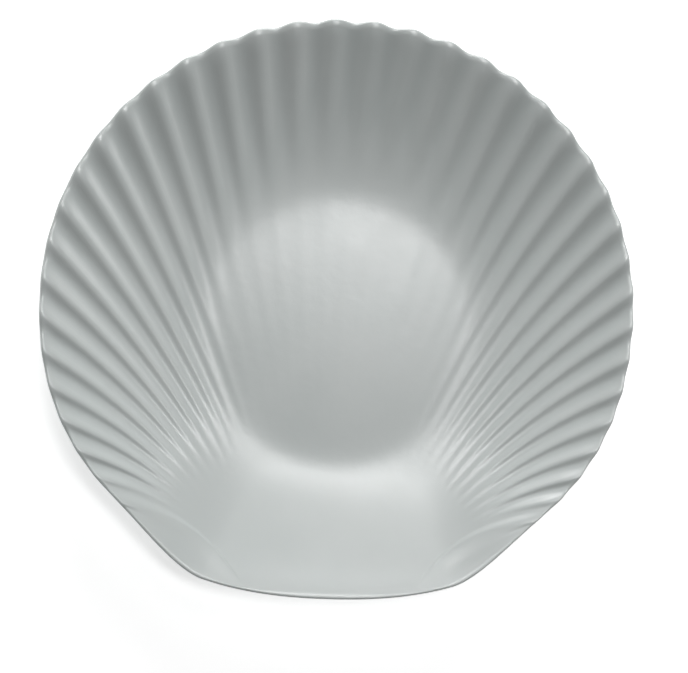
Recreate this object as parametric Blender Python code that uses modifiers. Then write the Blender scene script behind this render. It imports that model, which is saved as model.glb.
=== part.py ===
"""Shell platter: one piece of glazed ceramic, a fluted scallop shell that stands on a round foot.

X runs across the shell, Y from the lip at the hinge to the crown of the fan, Z up from the table.
Lengths are in metres. The origin is under the middle of the outline, on the table.
"""
import math

import bmesh
import bpy
import numpy as np

# Outline, seen from above
HALF_WIDTH = 0.135
CROWN_RISE = 0.128
SHOULDER_DROP = 0.122
SHOULDER_POWER = 2.2
EAR_REACH = 0.0117
EAR_START = 0.100
EAR_END = 0.058
LIP_HOLLOW = 0.0024

# Bowl, from the foot up
RIM_HEIGHT = 0.034
WALL = 0.0042
FOOT_HEIGHT = 0.003
WELL_RADIUS = 0.0625
WELL_FILLET = 0.006
WELL_FROM_WIDEST = 0.0118
WALL_STEEPENING = 0.6

# Round foot
FOOT_RADIUS = 0.060
FOOT_WIDTH = 0.0055
FOOT_CHAMFER = 0.0008

# Flutes: a middle rib, the same number on each side, and a crease before each ear
SIDE_RIBS = 18
RIB_CROWDING = 0.104
FLUTE_DEPTH = 0.0022
FLUTE_GROWTH = 1.7
FLUTE_SHARPNESS = 0.4
LOBE_DEPTH = 0.0014
LOBE_SHARPNESS = -0.3
LOBE_RIBS = 11.0
SIDE_LOBE_DEPTH = 0.0001
UNDERSIDE_RELIEF = 0.6
RIB_BOW = 0.115
RIB_BOW_OUTER = 0.084
RIB_FEET = 0.039
APRON_RADIUS = 0.090
APRON_SOFTNESS = 0.040
RIB_END_FADE = 1.5
WELL_FLUTE_START = 0.020
WELL_FLUTE_REACH = 0.040
WELL_FLUTE_DEPTH = 0.04
CENTRE_RIBS = 9.0
CENTRE_SOFTENING = 0.1
CENTRE_FADE = 0.032

# Crease and ear
CREASE_START = 0.0945
CREASE_GAP = 0.0155
CREASE_HEIGHT = 0.0007
CREASE_SPREAD = 0.6
CREASE_TAIL = 0.25
EAR_STEP = 0.004
EAR_FOOT = 0.005

# Rim edge
RIM_EDGE = 0.0023
RIM_EDGE_FROM_TOP = 0.3
RIM_TAPER_LENGTH = 0.006
RIM_CALM = 0.5

# Mesh
STEPS_PER_RIB = 6
ROWS = 36
KEPT_SHARE = 0.26
FOOT_STEPS = 72
SLOPE_STEP = 0.0005
OUTLINE_SAMPLES = 1441

GLAZE_COLOUR = (0.56, 0.58, 0.57, 1.0)
GLAZE_ROUGHNESS = 0.29

CREASE = SIDE_RIBS + 1
EDGE = CREASE + 1


def ease(t):
    """Rises smoothly from 0 to 1 as t does."""
    t = np.clip(t, 0.0, 1.0)
    return t * t * (3.0 - 2.0 * t)


def wave(turns, sharpness):
    """Flute section over whole turns: crest at 0, one unit deep, with an even mean."""
    crest, valley = math.exp(sharpness), math.exp(-sharpness)
    mean = float(np.i0(sharpness))
    return (np.exp(sharpness * np.cos(2.0 * math.pi * turns)) - mean) / (crest - valley)


def half_outline():
    """Right half of the outline from the crown to the middle of the lip, about the widest line."""
    angle = np.linspace(0.0, math.pi, OUTLINE_SAMPLES)
    upper = angle <= math.pi / 2
    power = np.where(upper, 1.0, 2.0 / SHOULDER_POWER)
    x = HALF_WIDTH * np.sin(angle).clip(0.0) ** power
    ear = EAR_REACH * ease((EAR_START - x) / (EAR_START - EAR_END))
    hollow = LIP_HOLLOW * (1.0 - (x / EAR_END) ** 2).clip(0.0)
    drop = SHOULDER_DROP + ear - hollow
    y = np.where(upper, CROWN_RISE, -drop) * np.abs(np.cos(angle)) ** power
    return x, y


class Outline:
    """The plan of the rim, with its length measured from the crown."""

    def __init__(self):
        x, y = half_outline()
        crown = y[0] + LOBE_DEPTH * float(wave(0.0, LOBE_SHARPNESS))
        self.widest_y = -(crown + y[-1]) / 2
        self.x, self.y = x, y + self.widest_y
        steps = np.hypot(np.diff(self.x), np.diff(self.y))
        self.run = np.concatenate([[0.0], np.cumsum(steps)])
        self.lower = self.y <= self.widest_y
        self.well_y = self.widest_y - WELL_FROM_WIDEST
        self.lip_y = self.y[-1]

    def at(self, run):
        """Point of the outline at a length from the crown."""
        return np.stack([np.interp(run, self.run, self.x), np.interp(run, self.run, self.y)], -1)

    def run_at_x(self, x):
        """Length from the crown to a lower point given by its distance from the middle."""
        return np.interp(x, self.x[self.lower][::-1], self.run[self.lower][::-1])

    def radius(self, azimuth):
        """Distance from the well's centre to the rim, by azimuth from +Y."""
        own = np.arctan2(self.x, self.y - self.well_y)
        return np.interp(azimuth, own, np.hypot(self.x, self.y - self.well_y))


OUTLINE = Outline()


def rim_run(rib):
    """Length along the outline from the crown to a rib's end; ribs may be fractions."""
    crease = OUTLINE.run_at_x(CREASE_START)
    share = rib / SIDE_RIBS
    fan = (crease - CREASE_GAP) * (share * (1.0 + RIB_CROWDING) - RIB_CROWDING * share ** 2)
    gap = crease - CREASE_GAP * (CREASE - rib)
    ear = crease + EAR_STEP * (rib - CREASE)
    return np.where(rib <= SIDE_RIBS, fan, np.where(rib <= CREASE, gap, ear))


def before_crease(rib):
    """Share of a flute that is left as it nears the crease."""
    return ease((CREASE - rib) / RIB_END_FADE)


def rib_curve(rib, along):
    """Plan of a rib from its foot on the lip (along 0) to the rim (along 1)."""
    rim = OUTLINE.at(rim_run(rib))
    foot = OUTLINE.at(OUTLINE.run_at_x(RIB_FEET * rib / CREASE))
    chord = rim - foot
    side = np.stack([-chord[..., 1], chord[..., 0]], -1)
    spread = (rib / CREASE)[..., None]
    middle = (foot + rim) / 2 + side * (RIB_BOW * spread + RIB_BOW_OUTER * spread ** 3)
    outward = rim - middle
    outward /= np.linalg.norm(outward, axis=-1, keepdims=True)
    lobe_depth = LOBE_DEPTH + (SIDE_LOBE_DEPTH - LOBE_DEPTH) * ease(rib / LOBE_RIBS)
    lobe = lobe_depth * wave(rib, LOBE_SHARPNESS) * before_crease(rib)
    rim = rim + outward * lobe[..., None]
    t = along[..., None]
    return foot * (1 - t) ** 2 + 2 * middle * t * (1 - t) + rim * t ** 2


def plan(rib, along):
    """Plan of any point of the right half: ribs up to the crease, then the ear out to the edge."""
    inner = rib_curve(np.minimum(rib, CREASE), along)
    first = rim_run(np.array(float(EDGE)))
    last = OUTLINE.run_at_x(RIB_FEET + EAR_FOOT)
    edge = OUTLINE.at(last + (first - last) * along)
    ear = np.clip(rib - CREASE, 0.0, 1.0)[..., None]
    return inner * (1.0 - ear) + edge * ear


def from_well(x, y):
    return np.hypot(x, y - OUTLINE.well_y)


def bowl_height(x, y):
    """Inner surface without its flutes: a flat well, then a wall that steepens up to the rim."""
    reach = from_well(x, y)
    rim = OUTLINE.radius(np.arctan2(np.abs(x), y - OUTLINE.well_y))
    beyond = reach - WELL_RADIUS
    rounded = (beyond + np.sqrt(beyond ** 2 + WELL_FILLET ** 2)) / 2
    share = rounded / (rim - WELL_RADIUS)
    floor = FOOT_HEIGHT + WALL
    rise = RIM_HEIGHT - floor
    return floor + rise * share * (1.0 - WALL_STEEPENING + WALL_STEEPENING * share)


def bowl_normal(x, y):
    """Unit normal of the bowl without its flutes."""
    step = SLOPE_STEP
    slope_x = (bowl_height(x + step, y) - bowl_height(x - step, y)) / (2 * step)
    slope_y = (bowl_height(x, y + step) - bowl_height(x, y - step)) / (2 * step)
    normal = np.stack([-slope_x, -slope_y, np.ones_like(x)], -1)
    return normal / np.linalg.norm(normal, axis=-1, keepdims=True)


def relief(rib, along, x, y):
    """Height of the flutes and of the crease over the bowl."""
    apron_edge = APRON_RADIUS - APRON_SOFTNESS / 2
    leaves_apron = ease((np.hypot(x, y - OUTLINE.lip_y) - apron_edge) / APRON_SOFTNESS)
    from_middle = ease(rib / CENTRE_RIBS)
    fade_start = WELL_RADIUS + WELL_FLUTE_START + CENTRE_FADE * (1.0 - from_middle)
    in_well = ease((fade_start - from_well(x, y)) / WELL_FLUTE_REACH)
    kept = (1.0 - CENTRE_SOFTENING * (1.0 - from_middle)) * (1.0 - (1.0 - WELL_FLUTE_DEPTH) * in_well)
    depth = FLUTE_DEPTH * along ** FLUTE_GROWTH * kept * leaves_apron * before_crease(rib)
    flutes = depth * wave(rib, FLUTE_SHARPNESS)
    away = np.clip(np.abs(rib - CREASE) / CREASE_SPREAD, 0.0, 1.0)
    crease = CREASE_HEIGHT * np.cos(away * math.pi / 2) ** 2 * ease(along / CREASE_TAIL)
    return flutes + crease


def wrap(slab):
    """Places the slab's points: x across the ribs, y along them, z 0 on top and below 0 underneath."""
    rib = np.abs(slab[:, 0]) * EDGE
    along = (slab[:, 1] + 1.0) / 2
    xy = plan(rib, along)
    x, y = xy[:, 0], xy[:, 1]
    top = slab[:, 2] == 0.0
    lift = relief(rib, along, x, y)
    clear_of_foot = ease((from_well(x, y) - FOOT_RADIUS) / WELL_FILLET)
    to_rim = OUTLINE.radius(np.arctan2(x, y - OUTLINE.well_y)) - from_well(x, y)
    edge = (1.0 - np.clip(to_rim / RIM_TAPER_LENGTH, 0.0, 1.0)) ** 2
    lift = lift * (1.0 - RIM_CALM * edge)
    lift = np.where(top, lift, lift * UNDERSIDE_RELIEF * clear_of_foot)
    normal = bowl_normal(x, y)
    upright = np.array([0.0, 0.0, 1.0])
    inward = normal * (1.0 - edge[:, None]) + upright * edge[:, None]
    taper = (WALL - RIM_EDGE) * edge
    depth = np.where(top, taper * RIM_EDGE_FROM_TOP, WALL - taper * (1.0 - RIM_EDGE_FROM_TOP))
    points = np.stack([x, y, bowl_height(x, y) + lift], -1) - inward * depth[:, None]
    points[:, 0] *= np.sign(slab[:, 0])
    return points


def material():
    glaze = bpy.data.materials.new("white_glaze")
    glaze.use_nodes = True
    shader = glaze.node_tree.nodes["Principled BSDF"]
    shader.inputs["Base Color"].default_value = GLAZE_COLOUR
    shader.inputs["Roughness"].default_value = GLAZE_ROUGHNESS
    shader.inputs["Metallic"].default_value = 0.0
    return glaze


def collection(name):
    group = bpy.data.collections.new(name)
    bpy.context.scene.collection.children.link(group)
    return group


def shell(group):
    """A flat slab in a grid, bent onto the fan of ribs, then thinned out where it is smooth."""
    form = bmesh.new()
    bmesh.ops.create_grid(form, x_segments=2 * EDGE * STEPS_PER_RIB, y_segments=ROWS, size=1.0)
    under = bmesh.ops.extrude_face_region(form, geom=form.faces[:])["geom"]
    for vertex in (item for item in under if isinstance(item, bmesh.types.BMVert)):
        vertex.co.z = -1.0
    points = wrap(np.array([vertex.co[:] for vertex in form.verts]))
    for vertex, point in zip(form.verts, points):
        vertex.co = point
    bmesh.ops.recalc_face_normals(form, faces=form.faces)
    mesh = bpy.data.meshes.new("shell_platter")
    form.to_mesh(mesh)
    form.free()
    mesh.shade_smooth()
    mesh.materials.append(material())
    platter = bpy.data.objects.new("shell_platter", mesh)
    group.objects.link(platter)
    thin = platter.modifiers.new("Fewer faces where smooth", "DECIMATE")
    thin.decimate_type = "COLLAPSE"
    thin.ratio = KEPT_SHARE
    thin.use_symmetry = True
    thin.symmetry_axis = "X"
    return platter


def foot_ring(group):
    """A turned ring that reaches from the table into the floor of the well."""
    outer, inner, cut = FOOT_RADIUS, FOOT_RADIUS - FOOT_WIDTH, FOOT_CHAMFER
    top = FOOT_HEIGHT + WALL / 2
    outside = [(outer, top), (outer, cut), (outer - cut, 0.0)]
    inside = [(inner + cut, 0.0), (inner, cut), (inner, top)]
    profile = outside + inside
    mesh = bpy.data.meshes.new("foot_ring")
    edges = [(i, (i + 1) % len(profile)) for i in range(len(profile))]
    mesh.from_pydata([(radius, 0.0, height) for radius, height in profile], edges, [])
    ring = bpy.data.objects.new("foot_ring", mesh)
    ring.location.y = OUTLINE.well_y
    group.objects.link(ring)
    turn = ring.modifiers.new("Turned", "SCREW")
    turn.steps = FOOT_STEPS
    turn.render_steps = FOOT_STEPS
    turn.use_merge_vertices = True
    turn.merge_threshold = 0.00001
    ring.hide_render = True
    ring.display_type = "WIRE"
    return ring


def join(platter, ring):
    union = platter.modifiers.new("Foot", "BOOLEAN")
    union.operation = "UNION"
    union.solver = "EXACT"
    union.object = ring


def main():
    for item in list(bpy.data.objects):
        bpy.data.objects.remove(item, do_unlink=True)
    platter = shell(collection("shell_platter"))
    ring = foot_ring(collection("cutters"))
    join(platter, ring)


main()
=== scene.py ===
"""Looks of the shell platter: the fluted glazed surface, its finish, the floor, the light and the camera.

Metres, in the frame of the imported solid: X across the shell, Y from the lip to the crown, Z up.
"""
import math

import bpy
import numpy as np
from mathutils import Matrix, Vector


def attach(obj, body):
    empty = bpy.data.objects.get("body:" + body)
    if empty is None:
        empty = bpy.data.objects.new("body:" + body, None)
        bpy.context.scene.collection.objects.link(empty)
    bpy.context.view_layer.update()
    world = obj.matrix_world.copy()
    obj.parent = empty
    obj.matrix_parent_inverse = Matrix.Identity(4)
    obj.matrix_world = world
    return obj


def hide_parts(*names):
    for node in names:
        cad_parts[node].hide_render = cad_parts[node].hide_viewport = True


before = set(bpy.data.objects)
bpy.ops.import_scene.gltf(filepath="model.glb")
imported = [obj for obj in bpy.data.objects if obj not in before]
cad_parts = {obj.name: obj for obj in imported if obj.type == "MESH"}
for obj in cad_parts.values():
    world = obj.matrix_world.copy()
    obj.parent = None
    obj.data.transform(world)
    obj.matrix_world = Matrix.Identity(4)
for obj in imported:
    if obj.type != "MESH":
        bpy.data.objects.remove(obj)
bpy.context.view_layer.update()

NODE = "shell_platter"

# Outline, seen from above
HALF_WIDTH = 0.135
CROWN_RISE = 0.128
SHOULDER_DROP = 0.122
SHOULDER_POWER = 2.2
EAR_REACH = 0.0117
EAR_START = 0.100
EAR_END = 0.058
LIP_HOLLOW = 0.0024

# Bowl, from the foot up
RIM_HEIGHT = 0.034
WALL = 0.0042
FOOT_HEIGHT = 0.003
WELL_RADIUS = 0.0625
WELL_FILLET = 0.006
WELL_FROM_WIDEST = 0.0118
WALL_STEEPENING = 0.6

# Round foot
FOOT_RADIUS = 0.060
FOOT_WIDTH = 0.0055
FOOT_ROUNDING = 0.0012
FOOT_ARC_STEPS = 4

# Flutes, the crease before each ear, and the ear
SIDE_RIBS = 18
RIB_CROWDING = 0.104
FLUTE_DEPTH = 0.0022
FLUTE_GROWTH = 1.7
FLUTE_SHARPNESS = 0.4
LOBE_DEPTH = 0.0014
LOBE_SHARPNESS = -0.3
LOBE_RIBS = 11.0
SIDE_LOBE_DEPTH = 0.0001
UNDERSIDE_RELIEF = 0.6
RIB_BOW = 0.115
RIB_BOW_OUTER = 0.084
RIB_FEET = 0.039
APRON_RADIUS = 0.090
APRON_SOFTNESS = 0.040
RIB_END_FADE = 1.5
WELL_FLUTE_START = 0.020
WELL_FLUTE_REACH = 0.040
WELL_FLUTE_DEPTH = 0.04
CENTRE_RIBS = 9.0
CENTRE_SOFTENING = 0.1
CENTRE_FADE = 0.032
CREASE_START = 0.0945
CREASE_GAP = 0.0155
CREASE_HEIGHT = 0.0007
CREASE_SPREAD = 0.6
CREASE_TAIL = 0.25
EAR_STEP = 0.004
EAR_FOOT = 0.005

# Rounded rim, drawn inside the outline
RIM_EDGE = 0.0023
RIM_EDGE_FROM_TOP = 0.3
RIM_TAPER_LENGTH = 0.006
RIM_CALM = 0.5
RIM_INSET = 0.0016
RIM_ROUNDING = 0.0012
RIM_LOOPS = 7

# Mesh
STEPS_PER_RIB = 9
ROWS = 110
FOOT_STEPS = 256
SLOPE_STEP = 0.0005
OUTLINE_SAMPLES = 1441

# Glaze: colours from cloud to cloud, painted shade that deepens the tone in the flute hollows, and the
# bare clay under the foot
GLAZE_TONES = ((0.534, 0.570, 0.561), (0.556, 0.588, 0.579))
FLUTE_SHADE_TONE = (0.480, 0.524, 0.517)
FLUTE_SHADE_SHARE = 0.35
FLUTE_SHADE_FROM_DEPTH = 0.45
BARE_TONE = (0.70, 0.67, 0.61)
BARE_HEIGHTS = (0.0001, 0.0004)
BARE_ROUGHNESS = 0.8
GLAZE_ROUGHNESS = (0.31, 0.35)
GLAZE_SHEEN = 1.0
CLOUD_SCALE = 22.0
CLOUD_RANGE = (0.35, 0.65)
SATIN_SCALE = 60.0
SATIN_RANGE = (0.3, 0.7)
RIPPLE_SCALE = 240.0
RIPPLE_STRENGTH = 0.12
RIPPLE_HEIGHT = 0.0004

# Floor
FLOOR_REACH = 6.0
FLOOR_TONES = ((0.93, 0.93, 0.93), (0.95, 0.95, 0.95))
FLOOR_SCALE = 3.0
FLOOR_ROUGHNESS = 0.9
FLOOR_SHEEN = 0.2
FLOOR_LIFT = 0.55

# Lights: name, place, target, width, depth and watts
LIGHTS = (
    ("key", (0.0, 1.15, 0.50), (0.0, 0.0, 0.02), 0.7, 0.4, 10.0),
    ("glow", (0.14, 0.24, 1.15), (0.0, 0.0, 0.0), 0.6, 0.14, 4.8),
    ("high", (0.14, 0.70, 1.15), (0.0, 0.0, 0.0), 0.6, 0.14, 0.9),
    ("left", (-1.2, 0.15, 0.28), (0.0, 0.0, 0.02), 0.6, 0.3, 2.1),
    ("right", (1.2, 0.15, 0.28), (0.0, 0.0, 0.02), 0.6, 0.3, 2.8),
)
WORLD_STRENGTH = 0.06
WHITE = (1.0, 1.0, 1.0, 1.0)

# Camera, as the photograph was taken
CAMERA_LEFT_TILT = 10.07
CAMERA_ROLL = 4.65
CAMERA_DISTANCE = 0.441
CAMERA_LENS = 51.86
CAMERA_SHIFT = (-0.0129, -0.0375)
SENSOR = 36.0
CLIP_START = 0.01

CREASE = SIDE_RIBS + 1
EDGE = CREASE + 1


def ease(t):
    """Rises smoothly from 0 to 1 as t does."""
    t = np.clip(t, 0.0, 1.0)
    return t * t * (3.0 - 2.0 * t)


def wave(turns, sharpness):
    """Flute section over whole turns: crest at 0, one unit deep, with an even mean."""
    crest, valley = math.exp(sharpness), math.exp(-sharpness)
    mean = float(np.i0(sharpness))
    return (np.exp(sharpness * np.cos(2.0 * math.pi * turns)) - mean) / (crest - valley)


def half_outline():
    """Right half of the outline from the crown to the middle of the lip, about the widest line."""
    angle = np.linspace(0.0, math.pi, OUTLINE_SAMPLES)
    upper = angle <= math.pi / 2
    power = np.where(upper, 1.0, 2.0 / SHOULDER_POWER)
    x = HALF_WIDTH * np.sin(angle).clip(0.0) ** power
    ear = EAR_REACH * ease((EAR_START - x) / (EAR_START - EAR_END))
    hollow = LIP_HOLLOW * (1.0 - (x / EAR_END) ** 2).clip(0.0)
    drop = SHOULDER_DROP + ear - hollow
    y = np.where(upper, CROWN_RISE, -drop) * np.abs(np.cos(angle)) ** power
    return x, y


class Outline:
    """The plan of the rim, with its length measured from the crown."""

    def __init__(self):
        x, y = half_outline()
        crown = y[0] + LOBE_DEPTH * float(wave(0.0, LOBE_SHARPNESS))
        self.widest_y = -(crown + y[-1]) / 2
        self.x, self.y = x, y + self.widest_y
        steps = np.hypot(np.diff(self.x), np.diff(self.y))
        self.run = np.concatenate([[0.0], np.cumsum(steps)])
        self.lower = self.y <= self.widest_y
        self.well_y = self.widest_y - WELL_FROM_WIDEST
        self.lip_y = self.y[-1]

    def at(self, run):
        """Point of the outline at a length from the crown."""
        return np.stack([np.interp(run, self.run, self.x), np.interp(run, self.run, self.y)], -1)

    def run_at_x(self, x):
        """Length from the crown to a lower point given by its distance from the middle."""
        return np.interp(x, self.x[self.lower][::-1], self.run[self.lower][::-1])

    def radius(self, azimuth):
        """Distance from the well's centre to the rim, by azimuth from +Y."""
        own = np.arctan2(self.x, self.y - self.well_y)
        return np.interp(azimuth, own, np.hypot(self.x, self.y - self.well_y))


OUTLINE = Outline()


def rim_run(rib):
    """Length along the outline from the crown to a rib's end; ribs may be fractions."""
    crease = OUTLINE.run_at_x(CREASE_START)
    share = rib / SIDE_RIBS
    fan = (crease - CREASE_GAP) * (share * (1.0 + RIB_CROWDING) - RIB_CROWDING * share ** 2)
    gap = crease - CREASE_GAP * (CREASE - rib)
    ear = crease + EAR_STEP * (rib - CREASE)
    return np.where(rib <= SIDE_RIBS, fan, np.where(rib <= CREASE, gap, ear))


def before_crease(rib):
    """Share of a flute that is left as it nears the crease."""
    return ease((CREASE - rib) / RIB_END_FADE)


def rib_curve(rib, along):
    """Plan of a rib from its foot on the lip (along 0) to the rim (along 1)."""
    rim = OUTLINE.at(rim_run(rib))
    foot = OUTLINE.at(OUTLINE.run_at_x(RIB_FEET * rib / CREASE))
    chord = rim - foot
    side = np.stack([-chord[..., 1], chord[..., 0]], -1)
    spread = (rib / CREASE)[..., None]
    middle = (foot + rim) / 2 + side * (RIB_BOW * spread + RIB_BOW_OUTER * spread ** 3)
    outward = rim - middle
    outward /= np.linalg.norm(outward, axis=-1, keepdims=True)
    lobe_depth = LOBE_DEPTH + (SIDE_LOBE_DEPTH - LOBE_DEPTH) * ease(rib / LOBE_RIBS)
    lobe = lobe_depth * wave(rib, LOBE_SHARPNESS) * before_crease(rib)
    rim = rim + outward * lobe[..., None]
    t = along[..., None]
    return foot * (1 - t) ** 2 + 2 * middle * t * (1 - t) + rim * t ** 2


def plan(rib, along):
    """Plan of any point of the right half: ribs up to the crease, then the ear out to the edge."""
    inner = rib_curve(np.minimum(rib, CREASE), along)
    first = rim_run(np.array(float(EDGE)))
    last = OUTLINE.run_at_x(RIB_FEET + EAR_FOOT)
    edge = OUTLINE.at(last + (first - last) * along)
    ear = np.clip(rib - CREASE, 0.0, 1.0)[..., None]
    return inner * (1.0 - ear) + edge * ear


def from_well(x, y):
    """Distance from the well's centre, seen from above."""
    return np.hypot(x, y - OUTLINE.well_y)


def bowl_height(x, y):
    """Inner surface without its flutes: a flat well, then a wall that steepens up to the rim."""
    reach = from_well(x, y)
    rim = OUTLINE.radius(np.arctan2(np.abs(x), y - OUTLINE.well_y))
    beyond = reach - WELL_RADIUS
    rounded = (beyond + np.sqrt(beyond ** 2 + WELL_FILLET ** 2)) / 2
    share = rounded / (rim - WELL_RADIUS)
    floor = FOOT_HEIGHT + WALL
    rise = RIM_HEIGHT - floor
    return floor + rise * share * (1.0 - WALL_STEEPENING + WALL_STEEPENING * share)


def bowl_normal(x, y):
    """Unit normal of the bowl without its flutes."""
    step = SLOPE_STEP
    slope_x = (bowl_height(x + step, y) - bowl_height(x - step, y)) / (2 * step)
    slope_y = (bowl_height(x, y + step) - bowl_height(x, y - step)) / (2 * step)
    normal = np.stack([-slope_x, -slope_y, np.ones_like(x)], -1)
    return normal / np.linalg.norm(normal, axis=-1, keepdims=True)


def relief(rib, along, x, y):
    """Height of the flutes and of the crease over the bowl."""
    apron_edge = APRON_RADIUS - APRON_SOFTNESS / 2
    leaves_apron = ease((np.hypot(x, y - OUTLINE.lip_y) - apron_edge) / APRON_SOFTNESS)
    from_middle = ease(rib / CENTRE_RIBS)
    fade_start = WELL_RADIUS + WELL_FLUTE_START + CENTRE_FADE * (1.0 - from_middle)
    in_well = ease((fade_start - from_well(x, y)) / WELL_FLUTE_REACH)
    kept = (1.0 - CENTRE_SOFTENING * (1.0 - from_middle)) * (1.0 - (1.0 - WELL_FLUTE_DEPTH) * in_well)
    depth = FLUTE_DEPTH * along ** FLUTE_GROWTH * kept * leaves_apron * before_crease(rib)
    flutes = depth * wave(rib, FLUTE_SHARPNESS)
    away = np.clip(np.abs(rib - CREASE) / CREASE_SPREAD, 0.0, 1.0)
    crease = CREASE_HEIGHT * np.cos(away * math.pi / 2) ** 2 * ease(along / CREASE_TAIL)
    return flutes + crease


def sheets():
    """Points of the top and of the underside, in rows along the ribs, and the height of the relief."""
    columns = 2 * EDGE * STEPS_PER_RIB
    across = np.linspace(-EDGE, EDGE, columns + 1)
    along = np.linspace(0.0, 1.0, ROWS + 1)
    across, along = np.meshgrid(across, along)
    rib, sign = np.abs(across).ravel(), np.sign(across).ravel()
    along = along.ravel()
    xy = plan(rib, along)
    keep = 1.0 - RIM_INSET / np.hypot(*half_outline()).mean()
    x, y = xy[:, 0] * keep, xy[:, 1] * keep
    lift = relief(rib, along, x, y)
    clear_of_foot = ease((from_well(x, y) - FOOT_RADIUS) / WELL_FILLET)
    base = np.stack([x, y, bowl_height(x, y)], -1)
    up = np.array([0.0, 0.0, 1.0])
    to_rim = OUTLINE.radius(np.arctan2(x, y - OUTLINE.well_y)) - from_well(x, y) - RIM_INSET
    edge = (1.0 - np.clip(to_rim / RIM_TAPER_LENGTH, 0.0, 1.0))[:, None] ** 2
    inward = bowl_normal(x, y) * (1.0 - edge) + up * edge
    lift = lift * (1.0 - RIM_CALM * edge[:, 0])
    taper = (WALL - RIM_EDGE) * edge
    top = base + up * lift[:, None] - inward * taper * RIM_EDGE_FROM_TOP
    under_lift = (lift * UNDERSIDE_RELIEF * clear_of_foot)[:, None]
    under = base + up * under_lift - inward * (WALL - taper * (1.0 - RIM_EDGE_FROM_TOP))
    for sheet in (top, under):
        sheet[:, 0] *= sign
    return top, under, lift, columns


def border(columns):
    """Indices of the sheet's border, anticlockwise from above, from the left end of the lip."""
    width = columns + 1
    lip = list(range(columns))
    right = [row * width + columns for row in range(ROWS)]
    rim = [ROWS * width + i for i in range(columns, 0, -1)]
    left = [row * width for row in range(ROWS, 0, -1)]
    return np.array(lip + right + rim + left)


def rim_loops(top, under, loop):
    """Rounded rim between the two borders, square to the wall."""
    middle = (top[loop] + under[loop]) / 2
    half = (top[loop] - under[loop]) / 2
    tangent = np.roll(middle, -1, axis=0) - np.roll(middle, 1, axis=0)
    outward = np.cross(tangent, half)
    outward /= np.linalg.norm(outward, axis=1, keepdims=True)
    loops = []
    for k in range(1, RIM_LOOPS + 1):
        turn = math.pi / 2 - math.pi * k / (RIM_LOOPS + 1)
        loops.append(middle + outward * RIM_ROUNDING * math.cos(turn) + half * math.sin(turn))
    return loops


def shell_mesh():
    """One closed surface: top, rounded rim and underside."""
    top, under, lift, columns = sheets()
    loop = border(columns)
    loops = rim_loops(top, under, loop)
    points = np.concatenate([top, under] + loops)
    width = columns + 1
    row, column = np.meshgrid(np.arange(ROWS), np.arange(columns), indexing="ij")
    corner = (row * width + column).ravel()
    faces_up = np.stack([corner, corner + 1, corner + 1 + width, corner + width], -1)
    faces_down = faces_up[:, ::-1] + len(top)
    rings = [loop] + [2 * len(top) + k * len(loop) + np.arange(len(loop)) for k in range(RIM_LOOPS)]
    rings.append(loop + len(top))
    faces = [faces_up, faces_down]
    for upper, lower in zip(rings, rings[1:]):
        faces.append(np.stack([upper, lower, np.roll(lower, -1), np.roll(upper, -1)], -1))
    mesh = bpy.data.meshes.new("platter_glaze")
    mesh.from_pydata(points.tolist(), [], np.concatenate(faces).tolist())
    hollow = np.zeros(len(points))
    hollow[:len(top)] = -lift / FLUTE_DEPTH
    mesh.attributes.new("hollow", "FLOAT", "POINT").data.foreach_set("value", hollow)
    mesh.validate()
    mesh.shade_smooth()
    return mesh


def foot_mesh():
    """Turned ring with rounded edges that reaches into the floor of the well."""
    outer, inner = FOOT_RADIUS, FOOT_RADIUS - FOOT_WIDTH
    top = FOOT_HEIGHT + WALL / 2
    turns = [math.pi / 2 * k / FOOT_ARC_STEPS for k in range(FOOT_ARC_STEPS + 1)]
    arc = [(FOOT_ROUNDING * (1 - math.cos(turn)), FOOT_ROUNDING * (1 - math.sin(turn))) for turn in turns]
    outside = [(outer - across, height) for across, height in arc]
    inside = [(inner + across, height) for height, across in arc]
    profile = [(outer, top)] + outside + inside + [(inner, top)]
    count = len(profile)
    points, faces = [], []
    for step in range(FOOT_STEPS):
        turn = 2 * math.pi * step / FOOT_STEPS
        for radius, height in profile:
            points.append((radius * math.cos(turn), radius * math.sin(turn) + OUTLINE.well_y, height))
        here, there = step * count, (step + 1) % FOOT_STEPS * count
        for k in range(count):
            after = (k + 1) % count
            faces.append((here + k, here + after, there + after, there + k))
    mesh = bpy.data.meshes.new("foot_ring")
    mesh.from_pydata(points, [], faces)
    mesh.shade_smooth()
    return mesh


def platter():
    """The shell with its foot united to it, as one closed mesh."""
    glaze = bpy.data.objects.new("platter_glaze", shell_mesh())
    foot = bpy.data.objects.new("foot_ring", foot_mesh())
    for item in (glaze, foot):
        bpy.context.scene.collection.objects.link(item)
    union = glaze.modifiers.new("Foot", "BOOLEAN")
    union.operation = "UNION"
    union.solver = "MANIFOLD"
    union.object = foot
    depsgraph = bpy.context.evaluated_depsgraph_get()
    joined = bpy.data.meshes.new_from_object(glaze.evaluated_get(depsgraph))
    glaze.modifiers.clear()
    glaze.data = joined
    bpy.data.objects.remove(foot, do_unlink=True)
    return glaze


def node(tree, kind, **values):
    """A new shader node with its properties set."""
    item = tree.nodes.new(kind)
    for name, value in values.items():
        setattr(item, name, value)
    return item


def noise(tree, source, scale, detail):
    """Soft noise over the object, between 0 and 1."""
    texture = node(tree, "ShaderNodeTexNoise")
    texture.inputs["Scale"].default_value = scale
    texture.inputs["Detail"].default_value = detail
    tree.links.new(source, texture.inputs["Vector"])
    return texture.outputs["Fac"]


def ranged(tree, value, source, target):
    """A value carried from one range to another, and held inside it."""
    item = node(tree, "ShaderNodeMapRange")
    for name, number in zip(("From Min", "From Max", "To Min", "To Max"), (*source, *target)):
        item.inputs[name].default_value = number
    tree.links.new(value, item.inputs["Value"])
    return item.outputs["Result"]


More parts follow.
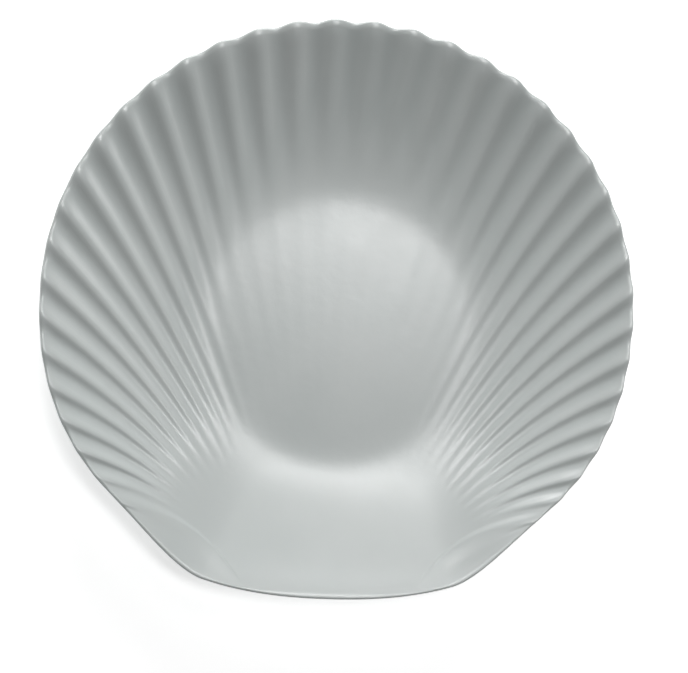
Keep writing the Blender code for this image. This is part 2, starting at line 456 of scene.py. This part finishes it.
def mixed(tree, factor, first, second):
    """Colour between two, each a socket or a plain colour."""
    item = node(tree, "ShaderNodeMix", data_type="RGBA")
    tree.links.new(factor, item.inputs["Factor"])
    for name, colour in (("A", first), ("B", second)):
        socket = next(s for s in item.inputs if s.name == name and s.type == "RGBA")
        if isinstance(colour, tuple):
            socket.default_value = (*colour, 1.0)
        else:
            tree.links.new(colour, socket)
    return next(s for s in item.outputs if s.type == "RGBA")


def glaze_material():
    """White glaze: faint clouding, painted shade that deepens the tone in the flute hollows, fine ripple,
    bare foot face.
    """
    material = bpy.data.materials.new("white_glaze_finish")
    material.use_nodes = True
    tree = material.node_tree
    shader = tree.nodes["Principled BSDF"]
    place = node(tree, "ShaderNodeTexCoord").outputs["Object"]
    cloud = ranged(tree, noise(tree, place, CLOUD_SCALE, 3.0), CLOUD_RANGE, (0.0, 1.0))
    body = mixed(tree, cloud, *GLAZE_TONES)
    hollow = node(tree, "ShaderNodeAttribute", attribute_name="hollow").outputs["Fac"]
    # painted shade: a darker tone blended in where the flutes run deepest
    flute_shade = ranged(tree, hollow, (0.0, FLUTE_SHADE_FROM_DEPTH), (0.0, FLUTE_SHADE_SHARE))
    shaded_body = mixed(tree, flute_shade, body, FLUTE_SHADE_TONE)
    height = node(tree, "ShaderNodeSeparateXYZ")
    tree.links.new(place, height.inputs["Vector"])
    bare = ranged(tree, height.outputs["Z"], BARE_HEIGHTS, (1.0, 0.0))
    colour = mixed(tree, bare, shaded_body, BARE_TONE)
    tree.links.new(colour, shader.inputs["Base Color"])
    satin = ranged(tree, noise(tree, place, SATIN_SCALE, 2.0), SATIN_RANGE, GLAZE_ROUGHNESS)
    rough = node(tree, "ShaderNodeMix", data_type="FLOAT")
    tree.links.new(bare, rough.inputs["Factor"])
    tree.links.new(satin, rough.inputs["A"])
    rough.inputs["B"].default_value = BARE_ROUGHNESS
    tree.links.new(rough.outputs["Result"], shader.inputs["Roughness"])
    shader.inputs["Specular IOR Level"].default_value = GLAZE_SHEEN
    ripple = node(tree, "ShaderNodeBump")
    ripple.inputs["Strength"].default_value = RIPPLE_STRENGTH
    ripple.inputs["Distance"].default_value = RIPPLE_HEIGHT
    tree.links.new(noise(tree, place, RIPPLE_SCALE, 2.0), ripple.inputs["Height"])
    tree.links.new(ripple.outputs["Normal"], shader.inputs["Normal"])
    return material


def floor_material():
    """Matt white, a little brighter than the light alone makes it."""
    material = bpy.data.materials.new("pale_floor")
    material.use_nodes = True
    tree = material.node_tree
    shader = tree.nodes["Principled BSDF"]
    place = node(tree, "ShaderNodeTexCoord").outputs["Object"]
    tone = mixed(tree, noise(tree, place, FLOOR_SCALE, 2.0), *FLOOR_TONES)
    tree.links.new(tone, shader.inputs["Base Color"])
    shader.inputs["Roughness"].default_value = FLOOR_ROUGHNESS
    shader.inputs["Specular IOR Level"].default_value = FLOOR_SHEEN
    shader.inputs["Emission Color"].default_value = WHITE
    shader.inputs["Emission Strength"].default_value = FLOOR_LIFT
    return material


def floor():
    """A plain square at the foot's height."""
    mesh = bpy.data.meshes.new("floor")
    reach = FLOOR_REACH
    corners = [(-reach, -reach, 0.0), (reach, -reach, 0.0), (reach, reach, 0.0), (-reach, reach, 0.0)]
    mesh.from_pydata(corners, [], [(0, 1, 2, 3)])
    mesh.materials.append(floor_material())
    item = bpy.data.objects.new("floor", mesh)
    bpy.context.scene.collection.objects.link(item)
    return item


def aimed(place, target):
    """World matrix of a light that shines from place to target."""
    back = Vector(place) - Vector(target)
    return Matrix.Translation(place) @ back.to_track_quat("Z", "Y").to_matrix().to_4x4()


def panel(name, place, target, width, depth, watts):
    """A soft rectangular light."""
    light = bpy.data.lights.new(name, "AREA")
    light.shape = "RECTANGLE"
    light.size, light.size_y = width, depth
    light.energy = watts
    item = bpy.data.objects.new(name, light)
    item.matrix_world = aimed(place, target)
    bpy.context.scene.collection.objects.link(item)


def studio():
    """Soft lights and a dim white surround."""
    bpy.context.scene.view_settings.view_transform = "Standard"
    world = bpy.data.worlds.new("studio")
    bpy.context.scene.world = world
    world.use_nodes = True
    background = world.node_tree.nodes["Background"]
    background.inputs["Color"].default_value = WHITE
    background.inputs["Strength"].default_value = WORLD_STRENGTH
    for light in LIGHTS:
        panel(*light)


def camera():
    """Looks down from above the middle, tilted to the left and rolled."""
    lens = bpy.data.cameras.new("camera")
    lens.sensor_fit = "HORIZONTAL"
    lens.sensor_width = SENSOR
    lens.lens = CAMERA_LENS
    lens.clip_start = CLIP_START
    lens.shift_x, lens.shift_y = CAMERA_SHIFT
    item = bpy.data.objects.new("camera", lens)
    tilt = Matrix.Rotation(-math.radians(CAMERA_LEFT_TILT), 4, "Y")
    roll = Matrix.Rotation(math.radians(CAMERA_ROLL), 4, "Z")
    step_back = Matrix.Translation((0.0, 0.0, CAMERA_DISTANCE))
    item.matrix_world = Matrix.Translation((0.0, 0.0, RIM_HEIGHT)) @ tilt @ roll @ step_back
    bpy.context.scene.collection.objects.link(item)
    bpy.context.scene.camera = item


camera()
surface = platter()
surface.data.materials.clear()
surface.data.materials.append(glaze_material())
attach(surface, "root")
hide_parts(NODE)
floor()
studio()
